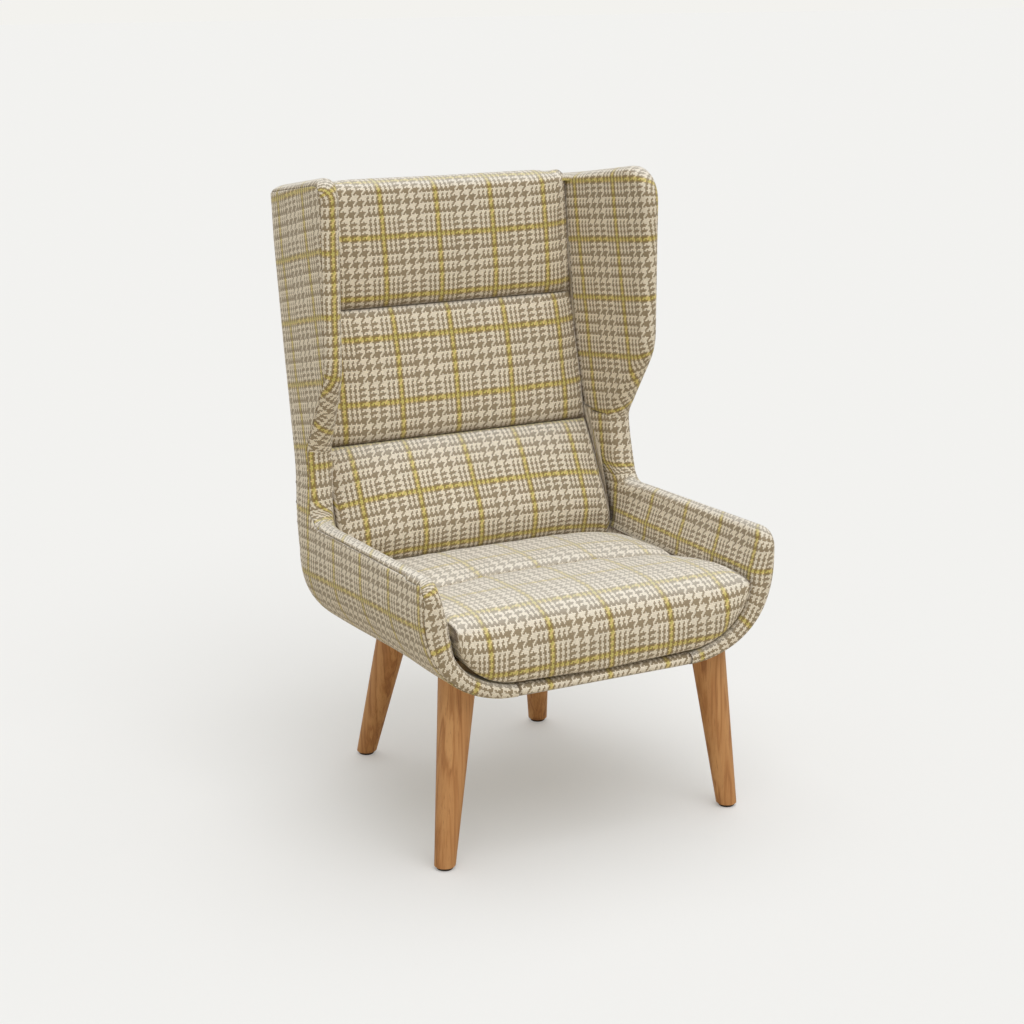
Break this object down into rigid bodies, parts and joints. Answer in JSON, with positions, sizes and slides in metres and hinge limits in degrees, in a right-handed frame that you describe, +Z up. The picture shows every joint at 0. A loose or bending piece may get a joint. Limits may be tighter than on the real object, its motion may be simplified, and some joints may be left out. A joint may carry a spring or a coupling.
{
  "type": "acoustic high back lounge chair",
  "caption": "High back lounge chair with head wings, rounded arms, fixed channelled cushions in a checked weave and turned tapered oak legs.",
  "frame": {"origin": "on the floor under the middle of the chair's bounding box", "axes": "+X to the sitter's left, -Y the way the sitter faces, +Z up"},
  "size_m": [0.68, 0.7068, 1.1271],
  "materials": {
    "check_fabric": "woven wool check in cream and taupe with a yellow overcheck",
    "oak": "clear matt lacquered oak",
    "plywood": "raw moulded birch plywood",
    "frame_timber": "planed hardwood",
    "webbing": "woven elastic webbing",
    "steel": "zinc plated steel",
    "glide_plastic": "dark brown moulded plastic"
  },
  "bodies": {
    "root": {"leg_front_left": "oak", "leg_front_right": "oak", "leg_rear_left": "oak", "leg_rear_right": "oak", "glide_front_left": "glide_plastic", "glide_front_right": "glide_plastic", "glide_rear_left": "glide_plastic", "glide_rear_right": "glide_plastic", "glide_nails": "steel", "leg_bolts": "steel", "tee_nuts": "steel", "bottom_cover": "check_fabric", "front_band": "check_fabric", "side_cover_left": "check_fabric", "side_cover_right": "check_fabric", "outside_back": "check_fabric", "back_top_band": "check_fabric", "arm_pad_left": "check_fabric", "arm_pad_right": "check_fabric", "wing_pad_left": "check_fabric", "wing_pad_right": "check_fabric", "side_panel_left": "plywood", "side_panel_right": "plywood", "front_rail": "frame_timber", "rear_rail": "frame_timber", "side_rail_left": "frame_timber", "side_rail_right": "frame_timber", "front_block_left": "frame_timber", "front_block_right": "frame_timber", "rear_block_left": "frame_timber", "rear_block_right": "frame_timber", "back_post_left": "frame_timber", "back_post_right": "frame_timber", "back_rail_top": "frame_timber", "back_rail_middle": "frame_timber", "back_rail_lumbar": "frame_timber", "seat_webbing": "webbing", "back_webbing": "webbing", "frame_screws": "steel", "back_screws": "steel", "seat_cushion": "check_fabric", "back_cushion": "check_fabric"}
  },
  "joints": []
}
